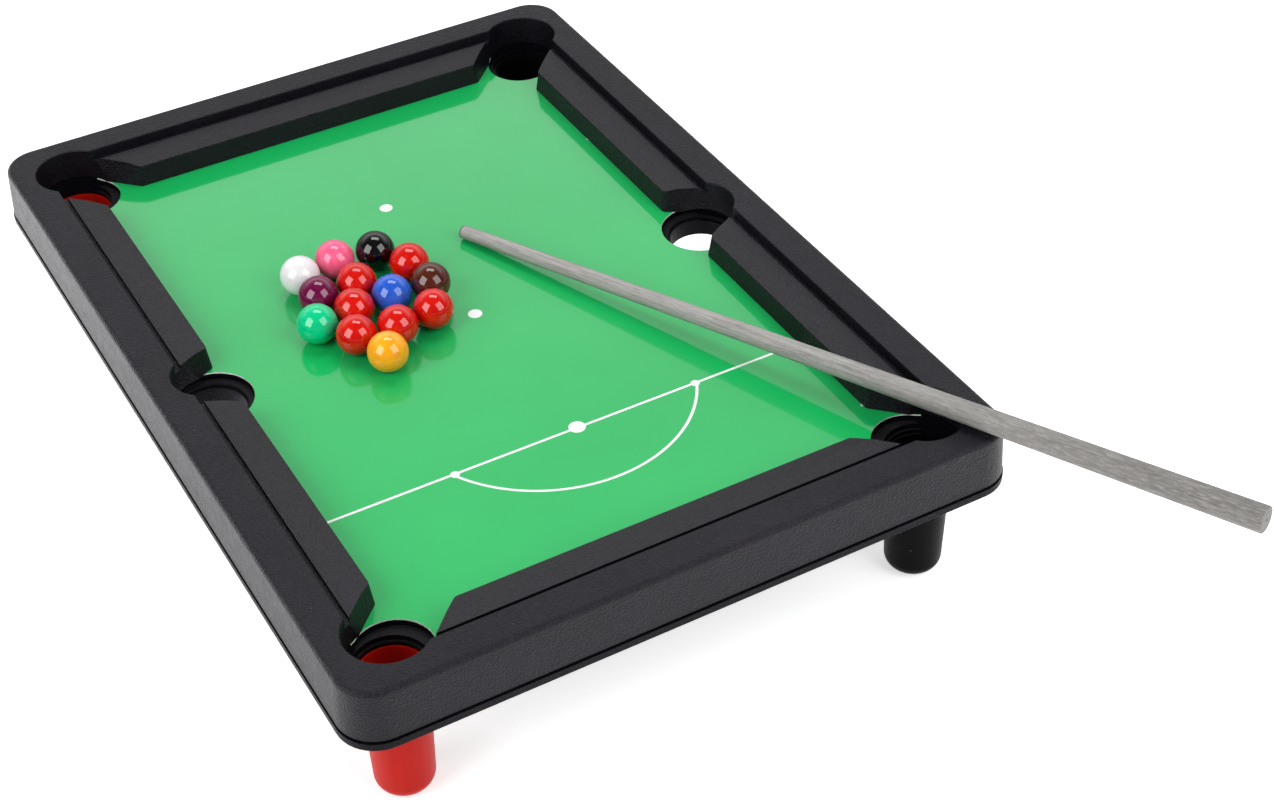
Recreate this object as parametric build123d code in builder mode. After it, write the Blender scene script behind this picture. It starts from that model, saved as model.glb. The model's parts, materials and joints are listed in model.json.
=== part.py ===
"""Mini pool table with cup legs, a set of small balls and a cue.

Frame: +Z up, origin on the floor under the middle of the table. The long axis is X, with the
baulk end at +X. Facing -X from the baulk end, the left side is -Y. Units are millimetres.
"""

import os

from build123d import *

os.makedirs("parts", exist_ok=True)

# overall levels
RIM_Z = 59.6
CUSHION_Z = 57.2
NOSE_Z = 56.3
GROOVE_Z = 56.0
BED_Z = 48.8
SEAM_Z = 41.7
LIP_Z = 39.1

# top frame
FRAME_L = 299.4
FRAME_W = 214.0
FRAME_R = 12.0
WALL_DRAFT = 3.0
RIM_FILLET = 1.8
WALL_T = 2.0
SEAM_GAP_H = 0.9
SEAM_GAP_D = 0.65
CAVITY_L = 293.2
CAVITY_W = 207.8
CAVITY_R = 9.0
RIM_IN_L = 274.5
RIM_IN_W = 189.0
RIM_IN_FILLET = 0.45
CUSHION_L = 268.4
CUSHION_W = 184.8
CUSHION_SLOPE = 4.5
GROOVE_FLOOR_T = 1.6
NOSE_L = 246.8
NOSE_W = 163.8
NOSE_DRAFT = 6.0
NOSE_BEVEL = 0.4

# pockets
CORNER_X = 128.3
CORNER_Y = 86.4
MOUTH_R = 12.4
MOUTH_REACH = 26.0
MOUTH_DRAFT = 9.0
SIDE_Y = 87.2
SIDE_BACK_R = 11.2
MOUTH_FILLET = 2.0
SIDE_THROAT = 8.8
SIDE_THROAT_Y = 94.8
SIDE_FLARE = 18.6
SIDE_FLARE_Y = 75.9
HOLE_R = 12.2
INNER_HOLE_R = 11.7
INNER_HOLE_SHIFT = 2.2
SIDE_HOLE_R = 13.1
STEP_1_R = 11.0
STEP_2_R = 10.2
STEP_1_Z = 44.6
COLLAR_R = 14.4
SOCKET_R = 11.05
SOCKET_Z = 33.8
CUP_TOP_Z = 43.2

# base tray and sheet
SHEET_T = 0.45
SHEET_L = 272.0
SHEET_W = 187.0
DECK_T = 2.0
TRAY_L = 292.8
TRAY_W = 207.4
TRAY_R = 8.8
LIP_L = 300.0
LIP_W = 214.6
LIP_R = 12.3
LIP_FILLET = 0.45
RIB_T = 1.6
RIB_H = 3.5
CROSS_RIBS = (-95.0, -45.0, 45.0, 95.0)
LONG_RIB_Y = 40.0

# legs
LEG_CLEAR = 0.1
PLUG_R = SOCKET_R - LEG_CLEAR
SHOULDER_R = 9.7
SHOULDER_Z = 33.0
FOOT_R = 8.7
FOOT_FILLET = 4.8
CUP_FILLET = 3.0
LEG_WALL = 1.3
LEG_FLOOR = 2.0

# screws
SCREW_X = 131.5
SCREW_SIDE = (62.0, 89.5)
BOSS_R = 3.0
BOSS_HOLE_CLEAR = 0.3
PILOT_R = 1.35
PILOT_TOP_Z = 53.4
SHANK_R = 1.3
SHANK_TOP_Z = 53.0
HEAD_R = 2.6
HEAD_H = 1.8
SCREW_GAP = 0.3
SLOT_W = 0.6
SLOT_L = 3.0
SLOT_D = 0.7

# balls and cue
BALL_R = 6.5
BALL_GAP = 0.05
CUE_LENGTH = 284.0
CUE_TIP_R = 2.25
CUE_BUTT_R = 4.05
CUE_EDGE = 0.4
CUE_TIP = (-36.6, 16.7, BED_Z + 2.4)
CUE_REST = (139.4, 95.4, RIM_Z + 3.6)

BALLS = {
    "ball_white": (-36.6, -41.6),
    "ball_pink": (-38.9, -28.4),
    "ball_black": (-36.6, -15.0),
    "ball_red_1": (-24.6, -8.3),
    "ball_brown": (-11.3, -7.0),
    "ball_purple": (-23.4, -40.9),
    "ball_red_2": (-23.7, -27.4),
    "ball_blue": (-11.9, -20.4),
    "ball_red_3": (2.0, -12.4),
    "ball_green": (-9.9, -47.1),
    "ball_red_4": (-11.4, -33.8),
    "ball_red_5": (1.6, -38.8),
    "ball_red_6": (3.8, -25.6),
    "ball_yellow": (14.6, -34.0),
}

CORNERS = {
    "baulk_left": (1, -1),
    "top_left": (-1, -1),
    "baulk_right": (1, 1),
    "top_right": (-1, 1),
}
CORNER_SPOTS = [(sx * CORNER_X, sy * CORNER_Y) for sx, sy in CORNERS.values()]
SIDE_SPOTS = [(0, -SIDE_Y), (0, SIDE_Y)]
SCREW_SPOTS = [(sx * SCREW_X, 0) for sx in (-1, 1)]
SCREW_SPOTS += [(sx * SCREW_SIDE[0], sy * SCREW_SIDE[1]) for sx in (-1, 1) for sy in (-1, 1)]
INNER_SPOTS = [
    (x - sx * INNER_HOLE_SHIFT, y - sy * INNER_HOLE_SHIFT)
    for (x, y), (sx, sy) in zip(CORNER_SPOTS, CORNERS.values())
]
DECK_TOP = BED_Z - SHEET_T
DECK_LOW = DECK_TOP - DECK_T
HOLLOW_Z = GROOVE_Z - GROOVE_FLOOR_T


def pocket_rounds(grow):
    """Round backs of the pockets, each wall moved out by grow."""
    with Locations(*CORNER_SPOTS):
        Circle(MOUTH_R + grow)
    with Locations(*SIDE_SPOTS):
        Circle(SIDE_BACK_R + grow)


def pocket_mouths(grow):
    """Mouths between the cushion ends, at 45 degrees in the corners and flared at the sides."""
    for sx, sy in CORNERS.values():
        with Locations(Location((sx * CORNER_X, sy * CORNER_Y), sx * sy * 45)):
            with Locations((-sx * MOUTH_REACH / 2, 0)):
                Rectangle(MOUTH_REACH, 2 * (MOUTH_R + grow))
    for side in (-1, 1):
        Polygon(
            (-SIDE_THROAT - grow, side * SIDE_THROAT_Y),
            (-SIDE_FLARE - grow, side * SIDE_FLARE_Y),
            (SIDE_FLARE + grow, side * SIDE_FLARE_Y),
            (SIDE_THROAT + grow, side * SIDE_THROAT_Y),
            align=None,
        )


def deck_holes():
    """Ball holes through the printed sheet and the deck, drawn out towards the bed in the corners."""
    with Locations(*CORNER_SPOTS):
        Circle(HOLE_R)
    with Locations(*INNER_SPOTS):
        Circle(INNER_HOLE_R)
    with Locations(*SIDE_SPOTS):
        Circle(SIDE_HOLE_R)


def rim_opening(grow):
    """Inner edge of the rim, with the pocket rounds cut into it."""
    Rectangle(RIM_IN_L + 2 * grow, RIM_IN_W + 2 * grow)
    pocket_rounds(grow)


def is_cushion_end(edge):
    """Upright edges where a nose meets a pocket mouth."""
    spot = edge.center()
    upright = edge.bounding_box().size.Z > (NOSE_Z - BED_Z) / 2
    return upright and abs(spot.X) < NOSE_L / 2 + NOSE_BEVEL and abs(spot.Y) < NOSE_W / 2 + NOSE_BEVEL


with BuildPart() as top_frame:
    # recessed foot of the side wall, which leaves a shadow gap above the lip
    with BuildSketch(Plane.XY.offset(SEAM_Z)):
        RectangleRounded(FRAME_L - 2 * SEAM_GAP_D, FRAME_W - 2 * SEAM_GAP_D, FRAME_R - SEAM_GAP_D)
    extrude(amount=SEAM_GAP_H)
    with BuildSketch(Plane.XY.offset(SEAM_Z + SEAM_GAP_H)):
        RectangleRounded(FRAME_L, FRAME_W, FRAME_R)
    extrude(amount=RIM_Z - SEAM_Z - SEAM_GAP_H, taper=WALL_DRAFT)
    fillet(top_frame.faces().sort_by(Axis.Z)[-1].edges(), RIM_FILLET)
    with BuildSketch(Plane.XY.offset(GROOVE_Z)):
        rim_opening(0)
    extrude(amount=RIM_Z - GROOVE_Z, mode=Mode.SUBTRACT)
    fillet(top_frame.faces().sort_by(Axis.Z)[-1].inner_wires()[0].edges(), RIM_IN_FILLET)
    # cushion tops stand above the groove and slope down to the nose
    with BuildSketch(Plane.XY.offset(GROOVE_Z)):
        Rectangle(CUSHION_L, CUSHION_W)
    extrude(amount=CUSHION_Z - GROOVE_Z)
    with BuildSketch(Plane.XY.offset(CUSHION_Z)):
        Rectangle(NOSE_L + 2 * CUSHION_SLOPE, NOSE_W + 2 * CUSHION_SLOPE)
    with BuildSketch(Plane.XY.offset(NOSE_Z)):
        Rectangle(NOSE_L, NOSE_W)
    loft(mode=Mode.SUBTRACT)
    with BuildSketch(Plane.XY.offset(NOSE_Z)):
        Rectangle(NOSE_L, NOSE_W)
    extrude(amount=SEAM_Z - NOSE_Z, taper=NOSE_DRAFT, mode=Mode.SUBTRACT)
    with BuildSketch(Plane.XY.offset(CUSHION_Z)):
        pocket_rounds(0)
    extrude(amount=SEAM_Z - CUSHION_Z, mode=Mode.SUBTRACT)
    with BuildSketch(Plane.XY.offset(CUSHION_Z)):
        pocket_mouths(0)
    extrude(amount=BED_Z - CUSHION_Z, taper=MOUTH_DRAFT, mode=Mode.SUBTRACT)
    # room for the base tray inside the side wall
    with BuildSketch(Plane.XY.offset(SEAM_Z)):
        RectangleRounded(CAVITY_L, CAVITY_W, CAVITY_R)
    extrude(amount=BED_Z - SEAM_Z, mode=Mode.SUBTRACT)
    # rounded cushion ends, then a small bevel along each nose
    fillet(top_frame.edges().filter_by(is_cushion_end), MOUTH_FILLET)
    with BuildSketch(Plane.XY.offset(NOSE_Z)):
        Rectangle(NOSE_L + 2 * NOSE_BEVEL, NOSE_W + 2 * NOSE_BEVEL)
    extrude(amount=-NOSE_BEVEL, taper=45, mode=Mode.SUBTRACT)
    # hollow under the cushions
    with BuildSketch(Plane.XY.offset(BED_Z)):
        RectangleRounded(CAVITY_L, CAVITY_W, CAVITY_R)
        with BuildSketch(mode=Mode.SUBTRACT):
            pocket_rounds(WALL_T)
            pocket_mouths(WALL_T)
            Rectangle(NOSE_L + 2 * WALL_T, NOSE_W + 2 * WALL_T)
    extrude(amount=HOLLOW_Z - BED_Z, mode=Mode.SUBTRACT)
    # hollow under the rim
    with BuildSketch(Plane.XY.offset(HOLLOW_Z)):
        RectangleRounded(CAVITY_L, CAVITY_W, CAVITY_R)
        with BuildSketch(mode=Mode.SUBTRACT):
            rim_opening(WALL_T)
    extrude(amount=RIM_Z - WALL_T - HOLLOW_Z, mode=Mode.SUBTRACT)
    # screw bosses under the cushions
    with BuildSketch(Plane.XY.offset(DECK_TOP)):
        with Locations(*SCREW_SPOTS):
            Circle(BOSS_R)
    extrude(amount=HOLLOW_Z - DECK_TOP)
    with BuildSketch(Plane.XY.offset(DECK_TOP)):
        with Locations(*SCREW_SPOTS):
            Circle(PILOT_R)
    extrude(amount=PILOT_TOP_Z - DECK_TOP, mode=Mode.SUBTRACT)
top_frame.part.label = "top_frame"
export_step(top_frame.part, "parts/top_frame.step")


with BuildPart() as playfield_sheet:
    with BuildSketch(Plane.XY.offset(DECK_TOP)):
        Rectangle(SHEET_L, SHEET_W)
        with BuildSketch(mode=Mode.SUBTRACT):
            deck_holes()
            with Locations(*SCREW_SPOTS):
                Circle(BOSS_R + BOSS_HOLE_CLEAR)
    extrude(amount=SHEET_T)
playfield_sheet.part.label = "playfield_sheet"
export_step(playfield_sheet.part, "parts/playfield_sheet.step")


with BuildPart() as base_tray:
    with BuildSketch(Plane.XY.offset(LIP_Z)):
        RectangleRounded(LIP_L, LIP_W, LIP_R)
    extrude(amount=SEAM_Z - LIP_Z)
    fillet(base_tray.faces().sort_by(Axis.Z)[0].edges(), LIP_FILLET)
    with BuildSketch(Plane.XY.offset(SEAM_Z)):
        RectangleRounded(TRAY_L, TRAY_W, TRAY_R)
    extrude(amount=DECK_TOP - SEAM_Z)
    with BuildSketch(Plane.XY.offset(LIP_Z)):
        RectangleRounded(TRAY_L - 2 * WALL_T, TRAY_W - 2 * WALL_T, TRAY_R - WALL_T)
    extrude(amount=DECK_LOW - LIP_Z, mode=Mode.SUBTRACT)
    with BuildSketch(Plane.XY.offset(DECK_LOW)):
        with Locations(*[(x, 0) for x in CROSS_RIBS]):
            Rectangle(RIB_T, TRAY_W - WALL_T)
        with Locations((0, -LONG_RIB_Y), (0, LONG_RIB_Y)):
            Rectangle(TRAY_L - WALL_T, RIB_T)
    extrude(amount=-RIB_H)
    with BuildSketch(Plane.XY.offset(LIP_Z)):
        with Locations(*SIDE_SPOTS):
            Circle(COLLAR_R)
        with Locations(*INNER_SPOTS):
            Circle(INNER_HOLE_R + WALL_T)
    extrude(amount=DECK_LOW - LIP_Z)
    with BuildSketch(Plane.XY.offset(SOCKET_Z)):
        with Locations(*CORNER_SPOTS):
            Circle(COLLAR_R)
    extrude(amount=DECK_LOW - SOCKET_Z)
    with BuildSketch(Plane.XY.offset(DECK_LOW)):
        deck_holes()
    extrude(amount=DECK_T, mode=Mode.SUBTRACT)
    with BuildSketch(Plane.XY.offset(STEP_1_Z)):
        with Locations(*CORNER_SPOTS, *SIDE_SPOTS):
            Circle(STEP_1_R)
    extrude(amount=DECK_LOW - STEP_1_Z, mode=Mode.SUBTRACT)
    with BuildSketch(Plane.XY.offset(LIP_Z)):
        with Locations(*CORNER_SPOTS, *SIDE_SPOTS):
            Circle(STEP_2_R)
    extrude(amount=STEP_1_Z - LIP_Z, mode=Mode.SUBTRACT)
    with BuildSketch(Plane.XY.offset(SOCKET_Z)):
        with Locations(*CORNER_SPOTS):
            Circle(SOCKET_R)
    extrude(amount=CUP_TOP_Z - SOCKET_Z, mode=Mode.SUBTRACT)
    with BuildSketch(Plane.XY.offset(DECK_LOW)):
        with Locations(*SCREW_SPOTS):
            Circle(SHANK_R + SCREW_GAP)
    extrude(amount=DECK_T, mode=Mode.SUBTRACT)
base_tray.part.label = "base_tray"
export_step(base_tray.part, "parts/base_tray.step")


for name, (sx, sy) in CORNERS.items():
    with BuildPart() as leg:
        foot = (sx * CORNER_X, sy * CORNER_Y, 0)
        with BuildSketch(Plane(origin=foot, x_dir=(1, 0, 0), z_dir=(0, -1, 0))) as section:
            with BuildLine():
                Polyline(
                    (0, 0),
                    (FOOT_R, 0),
                    (SHOULDER_R, SHOULDER_Z),
                    (SHOULDER_R, SOCKET_Z),
                    (PLUG_R, SOCKET_Z),
                    (PLUG_R, CUP_TOP_Z),
                    (PLUG_R - LEG_WALL, CUP_TOP_Z),
                    (SHOULDER_R - LEG_WALL, SHOULDER_Z),
                    (FOOT_R - LEG_WALL, LEG_FLOOR),
                    (0, LEG_FLOOR),
                    close=True,
                )
            make_face()
            fillet(section.vertices().group_by(Axis.Y)[0].sort_by(Axis.X)[-1], FOOT_FILLET)
            fillet(section.vertices().sort_by_distance((FOOT_R - LEG_WALL, LEG_FLOOR))[0], CUP_FILLET)
        revolve(axis=Axis(foot, (0, 0, 1)))
    leg.part.label = "leg_" + name
    export_step(leg.part, "parts/leg_" + name + ".step")


with BuildPart() as base_screws:
    with BuildSketch(Plane.XY.offset(DECK_LOW - HEAD_H)):
        with Locations(*SCREW_SPOTS):
            Circle(HEAD_R)
    extrude(amount=HEAD_H)
    with BuildSketch(Plane.XY.offset(DECK_LOW)):
        with Locations(*SCREW_SPOTS):
            Circle(SHANK_R)
    extrude(amount=SHANK_TOP_Z - DECK_LOW)
    with BuildSketch(Plane.XY.offset(DECK_LOW - HEAD_H)):
        with Locations(*SCREW_SPOTS):
            Rectangle(SLOT_L, SLOT_W)
            Rectangle(SLOT_W, SLOT_L)
    extrude(amount=SLOT_D, mode=Mode.SUBTRACT)
base_screws.part.label = "base_screws"
export_step(base_screws.part, "parts/base_screws.step")


for name, (x, y) in BALLS.items():
    with BuildPart(Plane((x, y, BED_Z + BALL_R + BALL_GAP))) as ball:
        Sphere(BALL_R)
    ball.part.label = name
    export_step(ball.part, "parts/" + name + ".step")


cue_axis = Vector(*CUE_REST) - Vector(*CUE_TIP)
with BuildPart() as cue:
    with BuildSketch(Plane(origin=CUE_TIP, z_dir=cue_axis)):
        Circle(CUE_TIP_R)
    with BuildSketch(Plane(origin=CUE_TIP, z_dir=cue_axis).offset(CUE_LENGTH)):
        Circle(CUE_BUTT_R)
    loft()
    fillet(cue.edges().filter_by(GeomType.CIRCLE), CUE_EDGE)
cue.part.label = "cue"
export_step(cue.part, "parts/cue.step")
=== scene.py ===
"""Looks for the mini pool table: materials, light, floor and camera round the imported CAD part.

Units are metres in the row frame: +X along the table to the baulk end, +Y to the right-hand side,
+Z up, with the origin on the floor under the middle of the table.
"""

import json
import math

import bpy
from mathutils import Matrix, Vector


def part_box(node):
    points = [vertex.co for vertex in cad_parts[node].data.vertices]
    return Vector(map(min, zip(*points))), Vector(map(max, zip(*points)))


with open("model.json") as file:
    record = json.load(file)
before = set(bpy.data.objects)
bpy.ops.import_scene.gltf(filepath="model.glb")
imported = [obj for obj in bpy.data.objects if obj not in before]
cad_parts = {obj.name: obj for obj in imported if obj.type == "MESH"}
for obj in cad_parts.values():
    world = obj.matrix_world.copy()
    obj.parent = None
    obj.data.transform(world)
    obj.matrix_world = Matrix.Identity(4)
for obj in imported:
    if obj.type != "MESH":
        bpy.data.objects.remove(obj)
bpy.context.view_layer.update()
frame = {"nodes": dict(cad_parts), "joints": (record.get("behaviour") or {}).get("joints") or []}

# marks printed on the card: the baulk line, the arc and the round spots as x, y, radius
BAULK_X = 0.0701
LINE_HALF = 0.00042
LINE_REACH = 0.0835
ARC_CENTRE = (0.0489, 0.0023)
ARC_R = 0.0467
INK_SOFT = 0.00012
SPOTS = [
    (0.0698, 0.0023, 0.0026),
    (0.0703, -0.0387, 0.0014),
    (0.0702, 0.0433, 0.0014),
    (0.0033, 0.0012, 0.0023),
    (-0.0661, 0.0018, 0.0022),
    (-0.0678, 0.0813, 0.0005),
    (-0.0814, 0.0818, 0.0005),
    (0.0667, 0.0819, 0.0005),
    (0.1055, 0.0810, 0.0005),
]

# half the length and width over the cushions, and the radii of the cue's two ends
CUSHION_HALF = (0.1342, 0.0924)
CUE_TIP_R = 0.00225
CUE_BUTT_R = 0.00405
BED_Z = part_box("playfield_sheet")[1][2]

# floor: its own glow, the strip beside the left wall and the dim patch at the near-left corner
FLOOR_SIZE = 14.0
FLOOR_Z = -0.0002
FLOOR_GLOW = 0.62
STRIP_Y = (-0.17, -0.10)
STRIP_X = (-0.15, 0.12)
STRIP_GLOW = 1.2
DIM_CENTRE = (0.18, -0.15)
DIM_REACH = (0.01, 0.11)

# softboxes: direction from the middle of the bed, distance, width and height, radiance
WINDOW = (0.65, 0.78)
SOFTBOXES = {
    "left_box": ((0.164, -0.814, 0.559), 1.0, WINDOW, 5.1),
    "front_box": ((0.706, 0.364, 0.606), 1.0, WINDOW, 3.95),
    "top_box": ((-0.290, 0.190, 0.938), 1.1, (0.66, 0.33), 5.6),
}
ROOM_TINT = (0.985, 0.99, 1.0)
FAR_END = (-0.87, 0.49, 0.0)

CAMERA_AT = (0.53237, -0.22855, 0.48247)
CAMERA_TURN = (0.883458, 0.02321, 1.053584)
CAMERA_LENS = 63.5


class Graph:
    """A node tree under construction: each method adds a node and returns its output."""

    def __init__(self, tree):
        self.nodes = tree.nodes
        self.links = tree.links
        self.nodes.clear()

    def feed(self, socket, value):
        if isinstance(value, bpy.types.NodeSocket):
            self.links.new(value, socket)
        elif isinstance(value, tuple) and len(value) == 3 and len(socket.default_value) == 4:
            socket.default_value = (*value, 1.0)
        else:
            socket.default_value = value

    def math(self, op, a, b=0.0):
        node = self.nodes.new("ShaderNodeMath")
        node.operation = op
        self.feed(node.inputs[0], a)
        self.feed(node.inputs[1], b)
        return node.outputs[0]

    def vector_math(self, op, a, b):
        node = self.nodes.new("ShaderNodeVectorMath")
        node.operation = op
        self.feed(node.inputs[0], a)
        self.feed(node.inputs[1], b)
        return node.outputs["Value" if op == "DOT_PRODUCT" else "Vector"]

    def product(self, *factors):
        total = factors[0]
        for factor in factors[1:]:
            total = self.math("MULTIPLY", total, factor)
        return total

    def hypot(self, a, b):
        squares = self.math("ADD", self.math("MULTIPLY", a, a), self.math("MULTIPLY", b, b))
        return self.math("SQRT", squares)

    def ramp(self, value, low, high, to_low=0.0, to_high=1.0):
        """A straight ramp from to_low at low to to_high at high, level beyond them."""
        node = self.nodes.new("ShaderNodeMapRange")
        node.clamp = True
        self.feed(node.inputs["Value"], value)
        keys = ("From Min", "From Max", "To Min", "To Max")
        for key, number in zip(keys, (low, high, to_low, to_high)):
            node.inputs[key].default_value = number
        return node.outputs["Result"]

    def split(self, vector):
        node = self.nodes.new("ShaderNodeSeparateXYZ")
        self.feed(node.inputs[0], vector)
        return node.outputs


class Surface(Graph):
    """A new material with one principled shader, laid out in object coordinates."""

    def __init__(self, name):
        self.mat = bpy.data.materials.new(name)
        self.mat.use_nodes = True
        super().__init__(self.mat.node_tree)
        self.shader = self.nodes.new("ShaderNodeBsdfPrincipled")
        out = self.nodes.new("ShaderNodeOutputMaterial")
        self.links.new(self.shader.outputs[0], out.inputs["Surface"])
        self.coords = self.nodes.new("ShaderNodeTexCoord").outputs["Object"]

    def scaled(self, vector, factors):
        node = self.nodes.new("ShaderNodeMapping")
        self.feed(node.inputs["Vector"], vector)
        node.inputs["Scale"].default_value = factors
        return node.outputs["Vector"]

    def noise(self, scale, detail=3.0, rough=0.5, vector=None, distortion=0.0):
        node = self.nodes.new("ShaderNodeTexNoise")
        self.feed(node.inputs["Vector"], vector or self.coords)
        node.inputs["Scale"].default_value = scale
        node.inputs["Detail"].default_value = detail
        node.inputs["Roughness"].default_value = rough
        node.inputs["Distortion"].default_value = distortion
        return node.outputs["Fac"]

    def cells(self, scale):
        node = self.nodes.new("ShaderNodeTexVoronoi")
        node.feature = "SMOOTH_F1"
        self.feed(node.inputs["Vector"], self.coords)
        node.inputs["Scale"].default_value = scale
        return node.outputs["Distance"]

    def mix(self, factor, a, b):
        node = self.nodes.new("ShaderNodeMix")
        node.data_type = "RGBA"
        self.feed(node.inputs["Factor"], factor)
        self.feed(node.inputs[6], a)
        self.feed(node.inputs[7], b)
        return node.outputs[2]

    def normal_z(self):
        node = self.nodes.new("ShaderNodeNewGeometry")
        return self.split(node.outputs["Normal"])[2]

    def bump(self, height, distance, strength, under=None):
        node = self.nodes.new("ShaderNodeBump")
        self.feed(node.inputs["Height"], height)
        node.inputs["Distance"].default_value = distance
        node.inputs["Strength"].default_value = strength
        if under is not None:
            self.links.new(under, node.inputs["Normal"])
        return node.outputs["Normal"]

    def set(self, **values):
        """Fill the shader's sockets, named with _ for each space, and return the material."""
        for key, value in values.items():
            self.feed(self.shader.inputs[key.replace("_", " ")], value)
        return self.mat


def moulded_black(name, base, rough, grain, shine):
    """Black moulded plastic: fine leathery grain, soft sheen, faint scuffs, and cushion tops made
    paler by a painted sheen.
    """
    g = Surface(name)
    fine = g.noise(3000.0, 2.0, 0.6)
    pebble = g.cells(1650.0)
    broad = g.noise(45.0, 4.0, 0.6)
    scuff = g.noise(260.0, 3.0, 0.7)
    light = tuple(c * 1.6 + 0.001 for c in base)
    colour = g.mix(g.ramp(broad, 0.35, 0.7), base, light)
    colour = g.mix(g.ramp(pebble, 0.25, 0.6, 0.0, 0.6), colour, tuple(c * 0.4 for c in base))
    x, y = g.split(g.coords)[:2]
    # painted sheen: faces pointing up inside the cushion box, the cushion tops, are made a little
    # paler
    bed_x = g.math("LESS_THAN", g.math("ABSOLUTE", x), CUSHION_HALF[0])
    bed_y = g.math("LESS_THAN", g.math("ABSOLUTE", y), CUSHION_HALF[1])
    painted_sheen_faces = g.math("GREATER_THAN", g.normal_z(), 0.9)
    colour = g.mix(g.product(bed_x, bed_y, painted_sheen_faces), colour, tuple(c + 0.009 for c in base))
    dust = g.ramp(g.noise(700.0, 1.0, 0.5), 0.80, 0.83)
    colour = g.mix(g.math("MULTIPLY", dust, 0.3), colour, (0.22, 0.22, 0.22))
    roughness = g.math("ADD", g.ramp(scuff, 0.3, 0.7, -0.04, 0.05), rough)
    height = g.math("ADD", g.math("MULTIPLY", fine, 0.5), pebble)
    normal = g.bump(height, 0.00028 * grain, 1.0)
    normal = g.bump(broad, 0.0005, 0.2, normal)
    return g.set(
        Base_Color=colour,
        Roughness=roughness,
        Normal=normal,
        Specular_IOR_Level=shine,
        Specular_Tint=(0.96, 0.92, 1.0),
    )


def red_plastic(name):
    """Red moulded plastic, slightly translucent, with faint vertical drag lines."""
    g = Surface(name)
    drag = g.noise(420.0, 3.0, 0.6, g.scaled(g.coords, (1.0, 1.0, 0.06)))
    cloud = g.noise(70.0, 3.0, 0.5)
    colour = g.mix(g.ramp(cloud, 0.3, 0.7), (0.400, 0.0060, 0.0020), (0.450, 0.0085, 0.0032))
    colour = g.mix(g.ramp(drag, 0.45, 0.75, 0.0, 0.25), colour, (0.53, 0.016, 0.008))
    normal = g.bump(drag, 0.00008, 0.5)
    normal = g.bump(g.noise(1800.0, 2.0, 0.6), 0.00004, 0.5, normal)
    return g.set(
        Base_Color=colour,
        Roughness=g.ramp(cloud, 0.3, 0.7, 0.34, 0.44),
        Normal=normal,
        Specular_IOR_Level=0.1,
        Subsurface_Weight=0.10,
        Subsurface_Radius=(0.004, 0.0012, 0.0008),
        Subsurface_Scale=1.0,
    )


def printed_card():
    """Green laminated card with white lines and spots, and a white cut edge."""
    g = Surface("printed_card")
    x, y = g.split(g.coords)[:2]
    wobble = g.math("MULTIPLY", g.math("SUBTRACT", g.noise(700.0, 2.0), 0.5), 0.00012)

    def inside(distance, half):
        edge = g.math("ADD", distance, wobble)
        return g.ramp(edge, half - INK_SOFT, half + INK_SOFT, 1.0, 0.0)

    def line(value, middle):
        return inside(g.math("ABSOLUTE", g.math("SUBTRACT", value, middle)), LINE_HALF)

    def radius(cx, cy):
        return g.hypot(g.math("SUBTRACT", x, cx), g.math("SUBTRACT", y, cy))

    baulk = g.product(line(x, BAULK_X), inside(g.math("ABSOLUTE", y), LINE_REACH))
    arc = g.product(line(radius(*ARC_CENTRE), ARC_R), g.math("GREATER_THAN", x, BAULK_X))
    white = g.math("MAXIMUM", baulk, arc)
    for cx, cy, r in SPOTS:
        white = g.math("MAXIMUM", white, inside(radius(cx, cy), r))

    cloud = g.noise(16.0, 3.0, 0.55)
    screen = g.noise(1700.0, 2.0, 0.6)
    green = g.mix(g.ramp(cloud, 0.3, 0.7), (0.006, 0.380, 0.088), (0.009, 0.420, 0.102))
    green = g.mix(g.ramp(screen, 0.35, 0.75, 0.0, 0.15), green, (0.004, 0.32, 0.070))
    ink = g.mix(white, green, (0.84, 0.86, 0.84))
    cut_edge = g.math("LESS_THAN", g.normal_z(), 0.5)
    colour = g.mix(cut_edge, ink, (0.82, 0.84, 0.80))
    normal = g.bump(g.noise(60.0, 2.0, 0.5), 0.0004, 0.10)
    normal = g.bump(screen, 0.00002, 0.4, normal)
    return g.set(
        Base_Color=colour,
        Roughness=g.ramp(cloud, 0.3, 0.7, 0.28, 0.34),
        Normal=normal,
        Specular_IOR_Level=0.04,
        Coat_Weight=1.0,
        Coat_Roughness=0.085,
    )


def ball_gloss(name, dark, light, haze):
    """Polished ball plastic with a faint swirl in the colour; haze roughens the clear coat."""
    g = Surface(name)
    swirl = g.noise(170.0, 4.0, 0.55, distortion=1.6)
    colour = g.mix(g.ramp(swirl, 0.35, 0.7), dark, light)
    speck = g.ramp(g.noise(1500.0, 2.0, 0.6), 0.70, 0.78, 0.0, 0.25)
    colour = g.mix(speck, colour, tuple(min(1.0, c * 1.2 + 0.02) for c in light))
    return g.set(
        Base_Color=colour,
        Roughness=g.ramp(g.noise(380.0, 3.0), 0.35, 0.7, 0.16, 0.24),
        Normal=g.bump(g.noise(240.0, 2.0), 0.00006, 0.25),
        Specular_IOR_Level=0.0,
        Coat_Weight=1.0,
        Coat_IOR=1.57,
        Coat_Roughness=haze,
        Subsurface_Weight=0.06,
        Subsurface_Radius=(0.002, 0.002, 0.002),
        Subsurface_Scale=1.0,
    )


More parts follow.
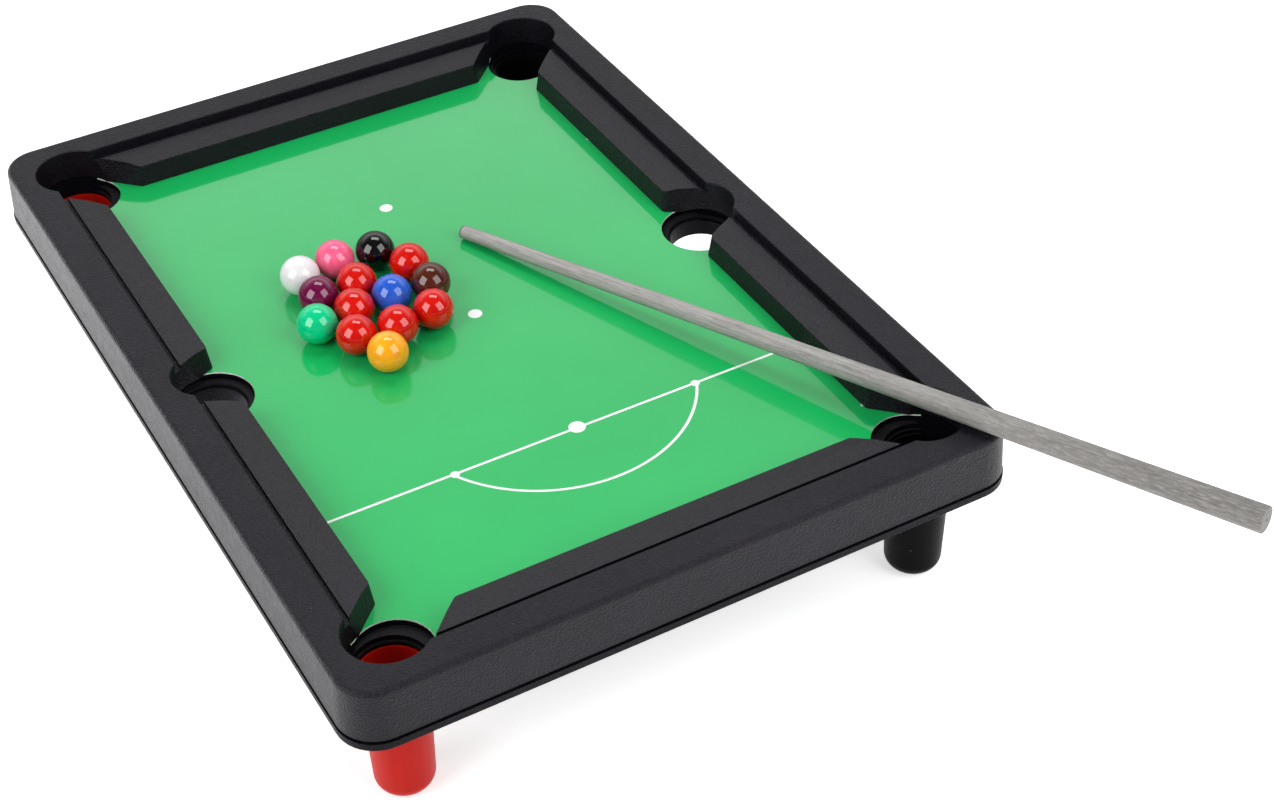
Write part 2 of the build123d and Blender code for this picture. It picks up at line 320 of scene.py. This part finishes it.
def painted_stick(tip, along, length):
    """Grey painted wood: streaks along the shaft, pores, a darker hand end, pith, and painted
    shade on the tip's end face.

    The pattern runs in the cue's own axes: from the tip, along the shaft and across it.
    """
    g = Surface("grey_painted_wood")
    turn = g.nodes.new("ShaderNodeVectorRotate")
    turn.rotation_type = "EULER_XYZ"
    turn.invert = True
    g.feed(turn.inputs["Vector"], g.vector_math("SUBTRACT", g.coords, tip))
    pitch = -math.asin(along[2])
    heading = math.atan2(along[1], along[0])
    turn.inputs["Rotation"].default_value = (0.0, pitch, heading)
    shaft = turn.outputs[0]
    run, across, up = g.split(shaft)
    streak = g.noise(1100.0, 4.0, 0.65, g.scaled(shaft, (0.035, 1.0, 1.0)))
    fleck = g.noise(1700.0, 3.0, 0.7, g.scaled(shaft, (0.16, 1.0, 1.0)))
    broad = g.noise(60.0, 3.0, 0.5, g.scaled(shaft, (0.3, 1.0, 1.0)))
    colour = g.mix(g.ramp(streak, 0.3, 0.72), (0.200, 0.191, 0.183), (0.420, 0.405, 0.388))
    colour = g.mix(g.ramp(run, 0.11, 0.25, 0.0, 0.78), colour, (0.100, 0.095, 0.088))
    colour = g.mix(g.ramp(fleck, 0.46, 0.74, 0.0, 0.42), colour, (0.54, 0.525, 0.505))
    colour = g.mix(g.ramp(fleck, 0.24, 0.41, 0.6, 0.0), colour, (0.070, 0.066, 0.062))
    colour = g.mix(g.ramp(broad, 0.35, 0.7, 0.0, 0.3), colour, (0.25, 0.244, 0.233))
    butt_end = g.math("GREATER_THAN", run, length - 0.001)
    pith = g.product(g.ramp(g.hypot(across, up), 0.0004, 0.0007, 0.9, 0.0), butt_end)
    colour = g.mix(pith, colour, (0.03, 0.027, 0.024))
    # painted shade: the tip's end face is darkened as if it stood in shadow
    colour = g.mix(g.ramp(run, 0.0002, 0.0008, 0.8, 0.0), colour, (0.045, 0.052, 0.048))
    normal = g.bump(streak, 0.00022, 0.7)
    normal = g.bump(fleck, 0.00014, 0.7, normal)
    return g.set(Base_Color=colour, Roughness=g.ramp(fleck, 0.3, 0.7, 0.58, 0.78), Normal=normal)


def plated_steel():
    """Zinc-plated steel with a brushed grain."""
    g = Surface("plated_steel")
    brushed = g.noise(900.0, 3.0, 0.6, g.scaled(g.coords, (1.0, 0.2, 1.0)))
    colour = g.mix(g.ramp(brushed, 0.3, 0.7), (0.50, 0.50, 0.49), (0.68, 0.68, 0.66))
    return g.set(
        Base_Color=colour,
        Metallic=1.0,
        Roughness=g.ramp(brushed, 0.3, 0.7, 0.28, 0.42),
        Normal=g.bump(brushed, 0.00002, 0.5),
    )


def dress(node, material):
    """Give a CAD node one material."""
    mesh = frame["nodes"][node].data
    mesh.materials.clear()
    mesh.materials.append(material)


# the cue's axis, and the middles of its end faces inside its box
cue_joint = next(j for j in frame["joints"] if j["name"] == "cue_stroke")
cue_along = tuple(cue_joint["axis"])
cue_low, cue_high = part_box("cue")
lean = [math.sqrt(1.0 - a * a) for a in cue_along]
cue_tip = tuple(low + CUE_TIP_R * k for low, k in zip(cue_low, lean))
cue_butt = tuple(high - CUE_BUTT_R * k for high, k in zip(cue_high, lean))

dress("top_frame", moulded_black("black_frame", (0.0046, 0.0041, 0.0066), 0.38, 1.0, 0.23))
dress("base_tray", moulded_black("black_tray", (0.0030, 0.0027, 0.0042), 0.42, 0.7, 0.09))
leg_black = moulded_black("black_leg", (0.0018, 0.0018, 0.0020), 0.38, 0.35, 0.05)
leg_red = red_plastic("red_leg")
for corner in ("baulk_right", "top_right"):
    dress("leg_" + corner, leg_black)
for corner in ("baulk_left", "top_left"):
    dress("leg_" + corner, leg_red)
dress("playfield_sheet", printed_card())
dress("base_screws", plated_steel())
dress("cue", painted_stick(cue_tip, cue_along, math.dist(cue_tip, cue_butt)))

# darker and lighter colour of each ball, and the haze of its coat
BALL_COLOURS = {
    "white": ((0.74, 0.73, 0.745), (0.80, 0.79, 0.805), 0.07),
    "pink": ((0.84, 0.105, 0.230), (0.90, 0.145, 0.290), 0.06),
    "black": ((0.0012, 0.0010, 0.0013), (0.0024, 0.0020, 0.0026), 0.03),
    "brown": ((0.060, 0.010, 0.004), (0.098, 0.018, 0.008), 0.03),
    "purple": ((0.112, 0.001, 0.036), (0.158, 0.003, 0.058), 0.03),
    "blue": ((0.016, 0.092, 0.52), (0.026, 0.125, 0.62), 0.05),
    "green": ((0.0, 0.52, 0.215), (0.003, 0.62, 0.262), 0.05),
    "yellow": ((0.93, 0.335, 0.006), (0.97, 0.430, 0.014), 0.07),
    "red": ((0.56, 0.0040, 0.0010), (0.66, 0.0075, 0.0020), 0.04),
}
ball_materials = {hue: ball_gloss(hue + "_ball", *look) for hue, look in BALL_COLOURS.items()}
for node in frame["nodes"]:
    if node.startswith("ball_"):
        dress(node, ball_materials[node.split("_")[1]])


def floor_material():
    """White paper with its own glow, bright along the left wall and dim at the near corner."""
    g = Surface("pale_floor")
    colour = g.mix(g.ramp(g.noise(3.0, 2.0), 0.3, 0.7), (0.86, 0.86, 0.865), (0.88, 0.88, 0.88))
    x, y = g.split(g.coords)[:2]
    strip = g.product(g.ramp(y, *STRIP_Y, STRIP_GLOW, 0.0), g.ramp(x, *STRIP_X, 1.0, 0.0))
    apart = g.hypot(g.math("SUBTRACT", x, DIM_CENTRE[0]), g.math("SUBTRACT", y, DIM_CENTRE[1]))
    glow = g.product(g.math("ADD", strip, FLOOR_GLOW), g.ramp(apart, *DIM_REACH, 0.1, 1.0))
    return g.set(
        Base_Color=colour,
        Roughness=0.85,
        Specular_IOR_Level=0.15,
        Emission_Color=(1.0, 1.0, 1.0),
        Emission_Strength=glow,
    )


bpy.ops.mesh.primitive_plane_add(size=FLOOR_SIZE, location=(0.0, 0.0, FLOOR_Z))
floor = bpy.context.object
floor.name = "floor"
floor.data.materials.append(floor_material())


def softbox(name, direction, distance, size, radiance):
    """A rectangular light facing the middle of the bed, hidden from the camera."""
    light = bpy.data.lights.new(name, "AREA")
    light.shape = "RECTANGLE"
    light.size, light.size_y = size
    light.energy = radiance * math.pi * size[0] * size[1]
    holder = bpy.data.objects.new(name, light)
    way = Vector(direction).normalized()
    holder.location = Vector((0.0, 0.0, BED_Z)) + way * distance
    holder.rotation_mode = "QUATERNION"
    holder.rotation_quaternion = way.to_track_quat("Z", "Y")
    holder.visible_camera = False
    bpy.context.scene.collection.objects.link(holder)
    return holder


def studio_world():
    """A dim room with a bright horizon and a bright band of wall behind the far end."""
    world = bpy.data.worlds.new("studio")
    bpy.context.scene.world = world
    world.use_nodes = True
    g = Graph(world.node_tree)
    way = g.nodes.new("ShaderNodeTexCoord").outputs["Generated"]
    height = g.split(way)[2]
    horizon = g.ramp(height, 0.02, 0.14, 0.80, 0.0)
    upper = g.ramp(height, 0.50, 0.82, 1.70, 0.26)
    lower = g.ramp(height, 0.34, 0.47, 0.3, 1.0)
    far_side = g.ramp(g.vector_math("DOT_PRODUCT", way, FAR_END), 0.1, 0.6)
    wall = g.product(upper, lower, far_side)
    sky = g.nodes.new("ShaderNodeBackground")
    g.feed(sky.inputs["Color"], ROOM_TINT)
    g.feed(sky.inputs["Strength"], g.math("ADD", g.math("MAXIMUM", horizon, wall), 0.11))
    out = g.nodes.new("ShaderNodeOutputWorld")
    g.links.new(sky.outputs[0], out.inputs["Surface"])


def studio_camera():
    """The camera at the viewing angle of the main picture."""
    data = bpy.data.cameras.new("camera")
    data.lens = CAMERA_LENS
    data.sensor_width = 36.0
    data.sensor_fit = "HORIZONTAL"
    data.clip_start = 0.05
    data.clip_end = 30.0
    camera = bpy.data.objects.new("camera", data)
    camera.location = CAMERA_AT
    camera.rotation_euler = CAMERA_TURN
    bpy.context.scene.collection.objects.link(camera)
    bpy.context.scene.camera = camera


lights = [softbox(name, *box) for name, box in SOFTBOXES.items()]
studio_world()
studio_camera()
bpy.context.scene.view_settings.view_transform = "Standard"
